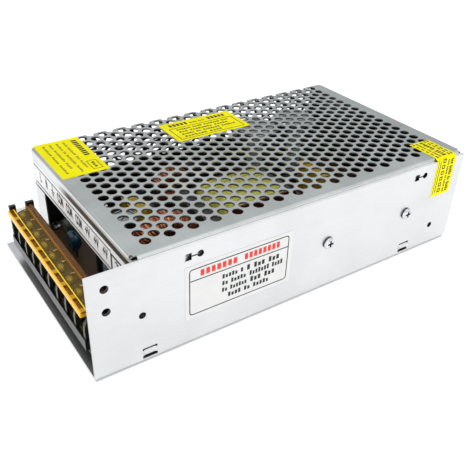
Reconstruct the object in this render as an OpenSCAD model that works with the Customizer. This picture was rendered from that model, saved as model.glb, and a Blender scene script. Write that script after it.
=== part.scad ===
// Enclosed switching power supply: a folded chassis with a label wall, a perforated
// folded cover, and a nine-way barrier terminal block under a hinged amber cover.
// x runs from the terminal end, y from the label wall, z up from the underside, in mm.

/* [Case] */
// Length from the terminal end to the closed end
case_l = 199; // [197:1:230]
// Width over both sides
case_w = 110; // [109:1:130]
// Height from the underside to the top
case_h = 50; // [47:1:60]
// Chassis sheet thickness
wall_t = 1.5; // [1.2:0.1:2]
// Cover sheet thickness
cover_t = 0.8; // [0.6:0.1:1.2]
// Inner radius of every fold
fold_in = 0.6; // [0.4:0.1:1]
// Gap between sheets that slide together
sheet_gap = 0.1; // [0.05:0.05:0.3]
// Depth of the open terminal bay
bay_l = 18.5; // [18:0.5:21]
// Height of the lip above the terminals
lip_h = 18; // [14:0.5:18.5]
// Width of the flange beside the terminals
front_flange_w = 14; // [6:1:15]
// Height of the cover flange tucked behind the label wall
tuck_h = 10; // [8:0.5:12]
// Height of the chassis flange that takes the cover screws
seam_h = 11; // [9.5:0.5:12]
// Drop of the label wall below the top
wall_drop = 1.3; // [1.2:0.1:1.6]
// Corner cut at the closed end of the label wall
corner_cut = 3.5; // [2:0.5:5]

/* [Vents] */
// Vent hole diameter
vent_d = 4.7; // [3:0.1:4.8]
// Column pitch along the case
vent_px = 5.2; // [5:0.1:7]
// Hole pitch within a column
vent_py = 6.19; // [5.6:0.01:8]
// First hole centre from the label wall side, at least
vent_near = 9; // [7:0.1:12]
// Row of holes on the far fold, from the far face
vent_fold = 1.4; // [1:0.1:2]
// First and last column from the ends of the cover, at least
vent_end = 9.6; // [7:0.1:14]
// Rows of vents on the far side
side_rows = 3; // [2:1:4]

/* [Label wall] */
// Diameter of the two holes beside the terminals
bay_hole_d = 3.5; // [2.5:0.1:4]
// Distance of those holes from the terminal end
bay_hole_x = 6.8; // [5:0.1:8]
// Height of the lower one
bay_hole_z = 31.9; // [30:0.1:34]
// Spacing of the two
bay_hole_gap = 10.3; // [8:0.1:10.5]
// Diameter of the two service holes
service_d = 3; // [2:0.1:3.5]
// Front service hole from the terminal end
service_x1 = 20.9; // [19.5:0.1:24]
// Front service hole height
service_z1 = 24.1; // [20:0.1:28]
// Rear service hole from the closed end
service_x2 = 15; // [10:0.1:22]
// Rear service hole height
service_z2 = 12.1; // [10:0.1:16]
// Front latch hole from the terminal end
latch_x1 = 46.5; // [40:0.5:60]
// Rear latch hole from the closed end
latch_x2 = 27.1; // [20:0.5:40]
// Latch hole diameter
latch_d = 3; // [2.4:0.1:3.4]
// Length of the latch from the hole to the end of its ramp
latch_l = 7; // [6:0.1:8]
// Length of the ramp
ramp_l = 3; // [2.4:0.1:3.2]
// Height of the ramp
ramp_h = 3.2; // [2:0.1:3.4]
// Depth of the ramp
ramp_d = 1.1; // [0.6:0.1:1.2]
// Latch height below the top
latch_drop = 6.4; // [5.6:0.1:7]
// Front bridge between two slots, from the terminal end
bridge_x1 = 23.4; // [20:0.1:30]
// Rear bridge from the closed end
bridge_x2 = 32.5; // [26:0.5:40]
// Length of the slots
bridge_l = 6.5; // [5:0.1:8]
// Height of the bridge
bridge_h = 2.7; // [2:0.1:3]
// Height of each slot
bridge_slot = 1.2; // [1:0.1:1.3]
// Height of the middle of the bridge
bridge_z = 4.7; // [4.7:0.1:6]
// How far the bridge is pushed in
bridge_d = 0.5; // [0.3:0.1:0.6]

/* [Mounting] */
// Bolt hole diameter in the floor
bolt_d = 4.2; // [3.2:0.1:5.2]
// Bolt holes from both ends
bolt_end = 24.5; // [22:0.5:40]
// Bolt holes from both sides
bolt_side = 20; // [18:0.5:30]

/* [Board] */
// Board thickness
board_t = 1.6; // [1.2:0.1:2]
// Stand-off height
standoff_h = 5; // [4.6:0.1:7]
// Stand-off width over flats
standoff_af = 5.5; // [5:0.1:6.5]
// Board front edge from the terminal end
board_x = 2.4; // [2.2:0.1:3]
// Board clearance to the case sides
board_gap = 0.7; // [0.5:0.1:0.9]
// Board clearance at the far side
board_far = 3.1; // [3:0.1:4]
// Board clearance at the closed end
board_end = 3.5; // [2:0.1:5]
// Board clearance around the tongue under the terminals
tongue_gap = 0.8; // [0.4:0.1:2]
// Insulating sheet thickness
sheet_t = 0.4; // [0.2:0.1:0.8]
// Insulating sheet margin to the sides and ends
sheet_in = 8; // [6:0.5:10]
// Hole in the sheet around stand-offs and bolts
sheet_hole = 9; // [8:0.5:10]
// Thread past the cover seam
screw_out = 1; // [0.6:0.1:1.4]
// Outer cover screws from the ends of the seam
seam_in = 18; // [10:1:30]
// Screw thread diameter used on board and case
screw_d = 3; // [2.5:0.1:3]
// Screw head diameter
head_d = 5.8; // [5:0.1:6]
// Screw head height
head_h = 1.7; // [1.4:0.1:2]

/* [Terminals] */
// Number of ways
ways = 9; // [4:1:9]
// Pitch of the ways
way_p = 9.5; // [9:0.1:9.6]
// Barrier thickness
barrier_t = 1.8; // [1.4:0.1:2.2]
// Front of the block from the terminal end
block_x = 0.9; // [0.8:0.1:1.3]
// Near end of the block from the label wall
block_y = 9.8; // [8:0.1:11]
// Depth of the block
block_d = 11.9; // [11.8:0.1:12.4]
// Base height above the board
base_h = 5; // [4.8:0.1:6]
// Barrier height above the board
barrier_h = 16.9; // [15:0.1:17]
// Rear wall height above the board
rear_h = 13; // [9:0.1:15]
// Rear wall thickness
rear_t = 1.2; // [1:0.1:1.3]
// Front corner radius of the barriers
barrier_r = 7; // [3:0.1:8]
// End post height above the board
post_h = 21; // [20.6:0.1:22]
// Terminal plate thickness
plate_t = 1; // [0.8:0.1:1.2]
// Terminal screw head diameter
tscrew_head = 6; // [5:0.1:6.2]
// Terminal screw head height
tscrew_h = 2.3; // [1.8:0.1:2.4]
// Terminal screw thread diameter
tscrew_d = 3.2; // [2.8:0.1:3.2]
// Wire clamp thickness under the head
clamp_t = 0.8; // [0.6:0.1:1]
// Wire clamp width
clamp_w = 6.6; // [6.2:0.1:6.8]

/* [Terminal cover] */
// Hinge axis height above the board
hinge_h = 18.8; // [18.6:0.1:19.2]
// Hinge axis distance behind the front of the block
hinge_x = 10; // [9.8:0.1:10.1]
// Barrel radius
barrel_r = 1.3; // [1.1:0.1:1.4]
// Hinge pin radius
pin_r = 0.8; // [0.6:0.05:0.8]
// Pin hole radius
pin_hole_r = 1; // [0.95:0.05:1.1]
// Cover plate thickness
lid_t = 1.3; // [1:0.1:1.3]
// Width of the front rim
rim_w = 3; // [2.6:0.1:3.4]
// Depth of the front rim
rim_h = 2.6; // [2:0.1:2.8]
// Depth of the windows in the rim
window_d = 0.8; // [0.4:0.1:1.2]
// Side gap between cover and end posts
lid_gap = 0.3; // [0.25:0.05:0.5]
// Clearance of the cover's near end to the hinge post
ear_gap = 3.5; // [3.4:0.1:5]

/* [Controls] */
// Adjuster centre from the label wall
trim_y = 9.5; // [8:0.1:10]
// Adjuster body width
trim_w = 7; // [6:0.1:7.2]
// Adjuster body height
trim_h = 6.5; // [5:0.1:8]
// Adjuster rotor radius
rotor_r = 2.3; // [1.6:0.1:2.5]
// Gap around the rotor
rotor_gap = 0.3; // [0.25:0.05:0.5]
// Status light centre from the label wall
led_y = 18; // [16.5:0.1:20]
// Status light diameter
led_d = 3; // [2.6:0.1:3.4]
// Selector centre from the closed end
selector_end = 18; // [15:0.5:20]
// Selector body length
selector_l = 14; // [13:0.5:16]
// Selector body height
selector_h = 9; // [8.5:0.5:10]
// Selector body depth
selector_d = 7.5; // [6.5:0.5:8]
// Selector travel
selector_run = 4; // [3:0.5:4.5]
// Selector slider length
slider_l = 4.4; // [4:0.1:4.8]
// Selector slider height
slider_h = 4; // [3:0.1:4.2]

/* [Layout] */
// Case length and width that the places on the board are drawn for
layout = [199, 110]; // [80:1:240]
// Transformer centre
xfmr_at = [95.5, 40.5]; // [30:0.5:120]
// Output choke centre
choke_at = [50.5, 37]; // [30:0.5:60]
// Filter choke centre
filter_at = [84, 92]; // [70:0.5:100]
// Drive transformer centre
drive_at = [140, 38]; // [30:0.5:150]
// Bulk capacitor places along the case
bulk_x = [136, 163]; // [130:0.5:170]
// Film capacitor centre
film_at = [158, 62]; // [55:0.5:160]
// Line capacitor centre
line_at = [57, 77]; // [50:0.5:80]
// Surge disc centre
surge_at = [22.5, 74]; // [22:0.5:80]
// Inrush disc centre
inrush_at = [25, 86.5]; // [24:0.5:88]
// Fuse centre
fuse_at = [40, 99]; // [36:0.5:100]
// Bridge rectifier centre
rect_at = [107, 97]; // [90:0.5:110]
// Control chip centre
chip_at = [136, 57]; // [50:0.5:140]
// Power devices along the label wall
device_x = [113.5, 163.25]; // [100:0.25:170]

/* [Magnetics] */
// Transformer core width along the case
xfmr_w = 52; // [46:1:52]
// Transformer core length across the case
xfmr_l = 44; // [40:1:46]
// Transformer core height
xfmr_h = 16; // [12:0.5:18]
// Transformer leg width
xfmr_leg = 6.5; // [5:0.5:7]
// Transformer core end thickness
xfmr_back = 7; // [6:0.5:8]
// Transformer winding height
xfmr_wind_h = 29; // [24:0.5:29.5]
// Transformer axis height above the board
xfmr_axis = 17; // [16.5:0.1:18]
// Output choke ring radius
choke_r = 10.4; // [9.6:0.1:10.6]
// Output choke ring core thickness
choke_section = 7.3; // [6:0.1:7.4]
// Output choke wire thickness
choke_wire = 1; // [0.8:0.1:1.1]
// Output choke turns
choke_turns = 30; // [18:1:36]
// Filter choke ring radius
filter_r = 7; // [6.4:0.1:7.4]
// Filter choke ring core thickness
filter_section = 4.8; // [4:0.1:5]
// Filter choke wire thickness
filter_wire = 0.8; // [0.6:0.1:0.9]
// Filter choke turns on each side
filter_turns = 9; // [6:1:10]
// Drive transformer core width
drive_w = 20; // [18:0.5:21]
// Drive transformer core length
drive_l = 16; // [14:0.5:17]
// Drive transformer core height
drive_h = 10; // [9:0.5:11]
// Drive transformer leg width
drive_leg = 3; // [2.5:0.1:3.2]
// Drive transformer foot height
drive_foot = 2.9; // [2.6:0.1:4]

/* [Capacitors] */
// Bulk capacitor diameter
bulk_d = 25; // [22:0.5:25.5]
// Bulk capacitor height
bulk_h = 35; // [30:0.5:36]
// Bulk capacitor centre from the far side
bulk_far = 21; // [20:0.5:22]
// Output capacitor diameter
out_d = 12.5; // [10:0.5:12.5]
// Output capacitor height
out_h = 25; // [20:0.5:30]
// Small capacitor diameter
small_d = 6.3; // [5:0.1:8]
// Small capacitor height
small_h = 11; // [9:0.5:16]
// Film capacitor length, width and height
film_box = [6.5, 22, 16]; // [6:0.5:23]
// Line capacitor length, width and height
line_box = [9, 18, 16]; // [8:0.5:20]
// Bridging capacitor disc diameter
disc_d = 8; // [7:0.5:9]
// Bridging capacitor disc thickness
disc_t = 3.2; // [2.6:0.1:4]

/* [Input] */
// Surge disc diameter
surge_d = 10; // [9:0.5:13]
// Surge disc thickness
surge_t = 4.5; // [4:0.1:5]
// Inrush disc diameter
inrush_d = 10; // [9:0.5:11]
// Inrush disc thickness
inrush_t = 4; // [3:0.1:4.5]
// Lead length under the discs
disc_gap = 2.5; // [2:0.1:4]
// Fuse tube radius
fuse_r = 2.5; // [2:0.1:2.5]
// Fuse length
fuse_l = 20; // [18:0.5:21]
// Fuse axis above the board
fuse_z = 4.4; // [4.2:0.1:5]
// Bridge rectifier length, thickness and height
rect_box = [20, 4.6, 16]; // [4:0.1:21]
// Control chip length
chip_l = 19.2; // [18:0.1:20]
// Control chip width
chip_w = 6.4; // [6:0.1:7]
// Control chip height
chip_h = 3.9; // [3.4:0.1:4.4]
// Power resistor length
res_l = 12; // [10:0.5:13]
// Power resistor diameter
res_d = 4.6; // [4:0.1:5]
// Power resistor lead span
res_span = 16; // [14.5:0.5:17]

/* [Power devices] */
// Package width
device_w = 15.9; // [14:0.1:16]
// Package thickness
device_t = 5; // [4.4:0.1:5.2]
// Package height
device_h = 20.8; // [19:0.1:21]
// Lead length above the board
lead_l = 2.2; // [1.5:0.1:4]
// Insulating pad thickness
pad_t = 0.4; // [0.2:0.05:0.6]

/* [Labels] */
// Label thickness
label_t = 0.12; // [0.08:0.02:0.2]
// Rating label length and height
rating_size = [52.5, 26]; // [20:0.5:60]
// Rating label corner from the terminal end and the underside
rating_at = [39.5, 13]; // [10:0.5:42]
// Terminal label height
strip_h = 12; // [8:0.5:12]
// Terminal label top below the case top
strip_drop = 5.4; // [4:0.1:5.8]
// Corner label length and width
corner_size = [22, 38.6]; // [15:0.1:45]
// Top label length and width
top_size = [42.2, 22.3]; // [15:0.1:50]
// Top label corner from the lip and from the far side
top_at = [64, 31.3]; // [25:0.1:70]
// Seal label width
seal_w = 13.2; // [10:0.1:16]
// Seal label from the closed end
seal_end = 6.3; // [4:0.1:20]
// Seal label length on the top
seal_top = 18.7; // [8:0.1:24]
// Seal label length on the wall
seal_down = 19.3; // [8:0.1:24]

/* [Hidden] */
$fn = 48;
eps = 0.5;
// seating plane of the board and outer fold radii
board_z = wall_t + standoff_h;
board_top = board_z + board_t;
chassis_r = wall_t + fold_in;
cover_r = cover_t + fold_in;
// outer face of the tucked flange, outer face of the seam flange, start of its fold
cover_y = wall_t + sheet_gap;
floor_w = case_w - cover_t - sheet_gap;
floor_e = floor_w - chassis_r;
far_in = case_w - cover_t;
wall_top = case_h - wall_drop;
floor_end = case_l - cover_t - sheet_gap;
relief = 1.2;
seam_x0 = bay_l + 4;
seam_x1 = case_l - selector_end - selector_l / 2 - 3;
seam_z = 6;
seam_screws = [seam_x0 + seam_in, (seam_x0 + seam_x1) / 2, seam_x1 - seam_in];
latch_x = [latch_x1, case_l - latch_x2];
bridge_x = [bridge_x1, case_l - bridge_x2];
// vent counts that fit the sheet
cover_l = case_l - bay_l;
vent_cols = floor((cover_l - 2 * vent_end) / vent_px) + 1;
vent_x0 = bay_l + (cover_l - (vent_cols - 1) * vent_px) / 2;
vent_rows = floor((case_w - vent_fold - vent_near) / vent_py);
vent_y0 = case_w - vent_fold - vent_rows * vent_py;
// the sheet is punched flat, so the rows go on over the far fold; height of the first one below it
bend_l = PI / 2 * (fold_in + cover_t / 2);
side_top = case_h - cover_r - (cover_r - vent_fold + vent_py / 2 - bend_l);
// terminal block and its cover
block_w = ways * way_p + barrier_t;
base_top = board_top + base_h;
barrier_top = board_top + barrier_h;
axis_x = block_x + hinge_x;
axis_z = board_top + hinge_h;
screw_x = block_x + 5.6;
lid_y = block_y + barrier_t + lid_gap;
lid_w = block_w - 2 * barrier_t - 2 * lid_gap;
lid_top = axis_z + 0.6;
lid_x = 0.3;
// devices on the label wall
device_y = wall_t + pad_t;
device_z = board_top + lead_l;
device_hole_z = device_z + device_h - 5.8;
// space inside the transformer bobbin and its length
tube_in = xfmr_leg * 2 + 0.4;
bobbin_l = xfmr_l - 2 * xfmr_back - 0.4;
// controls
trim_at = [block_x + block_d + 0.6 + trim_w / 2, trim_y];
led_at = [block_x + block_d + 3.4, led_y];
selector_x = case_l - selector_end;
selector_y = far_in - 0.3;
selector_mid = board_top + selector_h / 2;
slot_l = slider_l + selector_run + 0.8;
// parts on the board spread with a larger case and shrink with a smaller one
spread = [case_l / layout[0], case_w / layout[1]];
shrink = min(spread[0], spread[1], 1);
out_at = [[28.2, 17], [28.2, 31], [28.2, 45], [40.2, 55]];
small_at = [[126, 27], [156, 30], [156, 43], [40, 69]];
disc_at = [[67, 70], [67, 80.5], [70, 101]];
res_at = [[128, 69], [88, 71], [176, 40], [176, 54]];
standoff_at = [
    [bay_l + 4.9, case_w - 8.6], [case_l - 9, case_w - 24], [case_l - 9, 12],
    [72 * spread[0], 12], [112 * spread[0], 76 * spread[1]]
];
bolt_at = [
    for (x = [bolt_end, case_l - bolt_end], y = [bolt_side, case_w - bolt_side]) [x, y]
];
// the board is narrower under the terminal block
tongue_x = block_x + block_d + 2;

// points of an arc
function arc(c, r, a0, a1, n = 6) = [
    for (i = [0:n]) let (a = a0 + (a1 - a0) * i / n) c + r * [cos(a), sin(a)]
];

// a quarter of a folded sheet
function fold(c, r_out, r_in, a0) = concat(arc(c, r_out, a0, a0 + 90), arc(c, r_in, a0 + 90, a0));

// a rectangle with round corners about the origin
function round_rect(w, h, r) = concat(
    arc([w / 2 - r, h / 2 - r], r, 0, 90), arc([r - w / 2, h / 2 - r], r, 90, 180),
    arc([r - w / 2, r - h / 2], r, 180, 270), arc([w / 2 - r, r - h / 2], r, 270, 360)
);

// centre of one way across the case
function way_y(k) = block_y + barrier_t / 2 + way_p * (k + 0.5);

// moves the case to its place about the origin
module in_frame() translate([-case_l / 2, -case_w / 2, 0]) children();

// extrudes a y-z outline along the case
module along_x(x0, l) translate([x0, 0, 0]) rotate([90, 0, 90]) linear_extrude(l) children();

// extrudes an x-z outline across the case
module along_y(y0, l) translate([0, y0 + l, 0]) rotate([90, 0, 0]) linear_extrude(l) children();

// a box from its lowest corner
module block(at, size) translate(at) cube(size);

// moves a part to its place on the board
module on_board(at) translate([at[0] * spread[0], at[1] * spread[1], board_top]) scale(shrink) children();

// a hole through the label wall
module wall_hole(x, z, d) translate([x, -eps, z]) rotate([-90, 0, 0])
    cylinder(d = d, h = wall_t + 2 * eps);

// a cross-recess pan head screw with its head above z = 0
module pan_screw(d, l, hd, hh) difference() {
    union() {
        rotate_extrude() polygon([[0, 0], [hd / 2, 0], [hd / 2, hh * 0.4], [hd * 0.45, hh * 0.75],
            [hd * 0.3, hh], [0, hh]]);
        translate([0, 0, -l]) cylinder(d = d, h = l + hh / 4);
    }
    for (a = [0, 90])
        rotate(a) translate([-hd * 0.28, -hd * 0.08, hh * 0.3]) cube([hd * 0.56, hd * 0.16, hh]);
}

// a sleeved can with a crimp near its foot and a scored top
module can(d, h) difference() {
    rotate_extrude() polygon([[0, 0], [d / 2 - 0.4, 0], [d / 2, 0.6], [d / 2, d * 0.13],
        [d * 0.465, d * 0.16], [d * 0.465, d * 0.19], [d / 2, d * 0.22], [d / 2, h - d * 0.05],
        [d * 0.45, h], [d * 0.39, h], [d * 0.38, h - 0.3], [0, h - 0.3]]);
    for (a = [45, 135])
        rotate(a) translate([-d * 0.27, -0.25, h - 0.7]) cube([d * 0.54, 0.5, 1]);
}

// a coated disc on two leads, its face towards the terminal end
module disc(d, t, gap) {
    translate([-t / 2, 0, d / 2 + gap]) rotate([0, 90, 0]) rotate_extrude()
        polygon([[0, 0], [d * 0.4, 0], [d / 2, t * 0.35], [d / 2, t * 0.65], [d * 0.4, t], [0, t]]);
    for (y = [-d / 4, d / 4])
        translate([0, y, 0]) cylinder(d = 0.8, h = gap + d / 4);
}

// a box with softened upright edges
module soft_box(size) linear_extrude(size[2]) polygon(round_rect(size[0], size[1], 1));

// a ring core with a square section, its axis across the case
module ring_core(r, s) rotate([90, 0, 0]) rotate_extrude() translate([r - s / 2, -s / 2]) square(s);

// one turn of wire laid round a ring core
module turn(r, s, wire, span) rotate_extrude(angle = span) translate([r, 0]) difference() {
    circle(r = s * 0.72 + wire);
    circle(r = s * 0.72);
}

// a row of turns between two angles
module turns(r, s, wire, a0, a1, n) rotate([90, 0, 0])
    for (i = [0:n - 1])
        rotate(a0 + (a1 - a0) * i / n) turn(r, s, wire, (a1 - a0) / n * 0.85);

// columns of vent holes, every second one shifted by half a pitch
module vents(y0, rows, shifted_rows)
    for (i = [0:vent_cols - 1]) {
        shifted = i % 2;
        for (j = [0:(shifted ? shifted_rows : rows) - 1])
            translate([vent_x0 + i * vent_px, y0 + (j + shifted / 2) * vent_py])
                circle(d = vent_d, $fn = 24);
    }

module chassis() color("gainsboro") in_frame() {
    difference() {
        union() {
            along_x(0, case_l) polygon(concat([[0, wall_top]],
                arc([chassis_r, chassis_r], chassis_r, 180, 270), [[floor_e, 0], [floor_e, wall_t]],
                arc([chassis_r, chassis_r], fold_in, 270, 180), [[wall_t, wall_top]]));
            // floor beside the seam flange, at the bay and at the closed end
            block([0, floor_e - 1, 0], [seam_x0 - relief, chassis_r + 1, wall_t]);
            block([seam_x1 + relief, floor_e - 1, 0],
                [floor_end - seam_x1 - relief, chassis_r + 1, wall_t]);
            along_x(seam_x0, seam_x1 - seam_x0) polygon(concat([[floor_e - 1, 0]],
                arc([floor_e, chassis_r], chassis_r, 270, 360),
                [[floor_w, seam_h], [floor_w - wall_t, seam_h]],
                arc([floor_e, chassis_r], fold_in, 360, 270), [[floor_e - 1, wall_t]]));
        }
        // the floor stops short of the folded end of the cover
        block([floor_end, chassis_r, -eps], [case_l, case_w, wall_t + 2 * eps]);
        // corner cut of the label wall
        along_y(-eps, chassis_r + 2 * eps)
            polygon([[case_l + eps, -eps], [case_l - corner_cut, -eps], [case_l + eps, corner_cut]]);
        // round holes of the label wall
        wall_hole(bay_hole_x, bay_hole_z, bay_hole_d);
        wall_hole(bay_hole_x, bay_hole_z + bay_hole_gap, bay_hole_d);
        wall_hole(service_x1, service_z1, service_d);
        wall_hole(case_l - service_x2, service_z2, service_d);
        for (x = device_x)
            wall_hole(x * spread[0], device_hole_z, screw_d + 0.4);
        // latches over the tucked flange: a hole, a slit and a ramp that ends in a slot
        for (x = latch_x) {
            wall_hole(x, case_h - latch_drop, latch_d);
            block([x - latch_l + ramp_l, -eps, case_h - latch_drop - 0.3],
                [latch_l - ramp_l, wall_t + 2 * eps, 0.6]);
            translate([x - latch_l, 0, case_h - latch_drop - ramp_h / 2]) linear_extrude(ramp_h)
                polygon([[0, 0], [ramp_l - 0.8, ramp_d], [ramp_l - 0.8, wall_t + eps],
                    [ramp_l, wall_t + eps], [ramp_l, -eps], [0, -eps]]);
        }
        // openings around the bridges
        for (x = bridge_x)
            block([x - bridge_l / 2, -eps, bridge_z - bridge_h / 2 - bridge_slot],
                [bridge_l, wall_t + 2 * eps, bridge_h + 2 * bridge_slot]);
        // floor bolts and cover screws
        for (p = bolt_at)
            translate([p[0], p[1], -eps]) cylinder(d = bolt_d, h = wall_t + 2 * eps);
        for (x = seam_screws)
            translate([x, floor_w - wall_t - eps, seam_z]) rotate([-90, 0, 0])
                cylinder(d = screw_d + 0.1, h = wall_t + 2 * eps);
    }
    // bridges, pushed in a little to guide the insulating sheet
    for (x = bridge_x)
        translate([x, 0, bridge_z - bridge_h / 2]) linear_extrude(bridge_h)
            polygon([[-bridge_l / 2, 0], [-bridge_l / 3, bridge_d], [bridge_l / 3, bridge_d],
                [bridge_l / 2, 0], [bridge_l / 2, wall_t], [bridge_l / 3, bridge_d + wall_t],
                [-bridge_l / 3, bridge_d + wall_t], [-bridge_l / 2, wall_t]]);
}

module cover() color("#d9dadb") in_frame() {
    difference() {
        union() {
            // perforated top
            translate([0, 0, case_h - cover_t]) linear_extrude(cover_t) difference() {
                translate([bay_l + cover_r, cover_y + cover_r])
                    square([cover_l - 2 * cover_r, case_w - cover_y - 2 * cover_r]);
                vents(vent_y0, vent_rows, vent_rows);
            }
            // far side with its upper vents, the selector window and screw holes
            along_y(far_in, cover_t) difference() {
                translate([bay_l + cover_r, 0])
                    square([floor_end - bay_l - cover_r, case_h - cover_r]);
                vents(side_top - (side_rows - 0.5) * vent_py, side_rows, side_rows - 1);
                translate([selector_x - slot_l / 2 - 0.6, selector_mid - slider_h / 2 - 0.9])
                    square([slot_l + 1.2, slider_h + 1.8]);
                for (x = seam_screws)
                    translate([x, seam_z]) circle(d = screw_d + 0.4);
            }
            along_x(bay_l + cover_r + relief, cover_l - 2 * cover_r - 2 * relief)
                polygon(fold([case_w - cover_r, case_h - cover_r], cover_r, fold_in, 0));
        }
        // vents on the far fold, and the ones just below it
        for (i = [0:vent_cols - 1])
            translate([vent_x0 + i * vent_px, 0, side_top])
                if (i % 2 == 0)
                    translate([0, case_w - vent_fold, (vent_py - vent_d) / 2])
                        cylinder(d = vent_d, h = 2 * cover_r + vent_d);
                else
                    translate([0, far_in - fold_in, 0]) rotate([-90, 0, 0])
                        cylinder(d = vent_d, h = cover_r + eps);
    }
    // fold along the label wall
    along_x(bay_l + cover_r + relief, cover_l - 2 * cover_r - 2 * relief)
        polygon(fold([cover_y + cover_r, case_h - cover_r], cover_r, fold_in, 90));
    // flange tucked behind the label wall
    difference() {
        block([bay_l + cover_r + relief, cover_y, case_h - tuck_h],
            [cover_l - 2 * cover_r - 2 * relief, cover_t, tuck_h - cover_r]);
        for (x = latch_x)
            translate([x, cover_y - eps, case_h - latch_drop]) rotate([-90, 0, 0])
                cylinder(d = latch_d - 0.3, h = cover_t + 2 * eps);
    }
    // lip above the terminals and closed end
    along_y(cover_y + cover_r + relief, case_w - cover_y - 2 * cover_r - 2 * relief) {
        polygon(fold([bay_l + cover_r, case_h - cover_r], cover_r, fold_in, 90));
        polygon(fold([case_l - cover_r, case_h - cover_r], cover_r, fold_in, 0));
    }
    block([bay_l, cover_y, case_h - lip_h],
        [cover_t, case_w - cover_y - cover_r - relief, lip_h - cover_r]);
    block([case_l - cover_t, chassis_r + 0.2, 0],
        [cover_t, case_w - chassis_r - 0.2, case_h - cover_r]);
    // flange beside the terminals
    translate([0, 0, board_top + 0.6]) linear_extrude(case_h - lip_h - board_top - 1.6) {
        polygon(fold([bay_l + cover_r, case_w - cover_r], cover_r, fold_in, 90));
        translate([bay_l, case_w - front_flange_w])
            square([cover_t, front_flange_w - cover_r]);
    }
}

module cover_screws() color("silver") in_frame()
    for (x = seam_screws)
        translate([x, case_w, seam_z]) rotate([-90, 0, 0])
            pan_screw(screw_d, cover_t + sheet_gap + wall_t + screw_out, head_d, head_h);

module insulating_sheet() color("whitesmoke") in_frame() difference() {
    block([bay_l + 2, sheet_in, wall_t],
        [case_l - bay_l - 2 - sheet_in, case_w - 2 * sheet_in, sheet_t]);
    for (p = concat(standoff_at, bolt_at))
        translate([p[0], p[1], wall_t - eps]) cylinder(d = sheet_hole, h = sheet_t + 2 * eps);
}

module board_standoffs() color("goldenrod") in_frame()
    for (p = standoff_at)
        translate([p[0], p[1], wall_t]) difference() {
            cylinder(d = standoff_af / cos(30), h = standoff_h, $fn = 6);
            translate([0, 0, -eps]) cylinder(d = screw_d + 0.1, h = standoff_h + 2 * eps);
        }

module circuit_board() color("#a8773a") in_frame() difference() {
    union() {
        block([tongue_x, wall_t + board_gap, board_z],
            [case_l - tongue_x - board_end, far_in - wall_t - board_gap - board_far, board_t]);
        block([board_x, block_y - tongue_gap, board_z],
            [tongue_x - board_x + 1, block_w + 2 * tongue_gap, board_t]);
    }
    for (p = standoff_at)
        translate([p[0], p[1], board_z - eps]) cylinder(d = screw_d + 0.3, h = board_t + 2 * eps);
}

module board_screws() color("silver") in_frame()
    for (p = standoff_at)
        translate([p[0], p[1], board_top]) pan_screw(screw_d, board_t + standoff_h - 1, head_d, head_h);

module terminal_block() color("#1d1d1f") in_frame() difference() {
    union() {
        block([block_x, block_y, board_top], [block_d, block_w, base_h]);
        // rear wall
        block([block_x + block_d - rear_t, block_y, board_top], [rear_t, block_w, rear_h]);
        // barriers with rounded front corners
        for (k = [0:ways])
            along_y(block_y + k * way_p, barrier_t) polygon(concat([[block_x + 0.4, board_top + 1]],
                arc([block_x + 0.4 + barrier_r, barrier_top - barrier_r], barrier_r, 180, 90),
                [[block_x + block_d, barrier_top], [block_x + block_d, board_top + 1]]));
        // hinge posts at both ends and a front post at the far end
        for (k = [0, ways])
            block([axis_x - 2, block_y + k * way_p, base_top],
                [block_x + block_d - axis_x + 2, barrier_t, post_h - base_h]);
        block([block_x + 0.4, block_y + ways * way_p, base_top], [3, barrier_t, post_h - base_h]);
    }
    // hinge pin holes
    translate([axis_x, block_y - eps, axis_z]) rotate([-90, 0, 0])
        cylinder(r = pin_hole_r, h = barrier_t + 2 * eps);
    translate([axis_x, block_y + ways * way_p - eps, axis_z]) rotate([-90, 0, 0])
        cylinder(r = pin_hole_r, h = barrier_t + 2 * eps);
    // screw holes
    for (k = [0:ways - 1])
        translate([screw_x, way_y(k), board_top + 0.8]) cylinder(d = tscrew_d + 0.3, h = base_h);
}

module terminal_plates() color("#cfd0cf") in_frame()
    for (k = [0:ways - 1])
        difference() {
            union() {
                block([block_x + 1.6, way_y(k) - 3.5, base_top], [block_d - rear_t - 1.8, 7, plate_t]);
                block([block_x + block_d - rear_t - 1.2, way_y(k) - 2.5, base_top], [1, 5, 4]);
            }
            translate([screw_x, way_y(k), base_top - eps])
                cylinder(d = tscrew_d + 0.3, h = plate_t + 2 * eps);
        }

module terminal_screws() color("#c4c6c8") in_frame()
    for (k = [0:ways - 1]) {
        translate([screw_x, way_y(k), base_top + plate_t + clamp_t])
            pan_screw(tscrew_d, plate_t + clamp_t + base_h - 1.8, tscrew_head, tscrew_h);
        block([screw_x - clamp_w / 2, way_y(k) - clamp_w / 2, base_top + plate_t],
            [clamp_w, clamp_w, clamp_t]);
    }

module terminal_cover() color("#b5651d") in_frame() {
    difference() {
        union() {
            // plate and front rim
            block([lid_x + rim_w - eps, lid_y, lid_top - lid_t],
                [axis_x - lid_x - rim_w + eps, lid_w, lid_t]);
            // the near end reaches over the end barrier, clear of the hinge post
            block([lid_x + rim_w - eps, block_y, lid_top - lid_t],
                [axis_x - ear_gap - lid_x - rim_w + eps, barrier_t + lid_gap + eps, lid_t]);
            block([lid_x, block_y, lid_top - rim_h], [rim_w, lid_y - block_y + lid_w, rim_h]);
        }
        // windows in the rim, one for each way
        for (k = [0:ways - 1])
            block([lid_x + 0.65, way_y(k) - way_p / 2 + 1.3, lid_top - window_d],
                [rim_w - 1.3, way_p - 2.6, 1]);
    }
    // hinge barrel and pins
    translate([axis_x, lid_y, axis_z]) rotate([-90, 0, 0]) cylinder(r = barrel_r, h = lid_w);
    translate([axis_x, lid_y - lid_gap - barrier_t * 0.8, axis_z]) rotate([-90, 0, 0])
        cylinder(r = pin_r, h = lid_w + 2 * lid_gap + barrier_t * 1.6);
}

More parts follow.
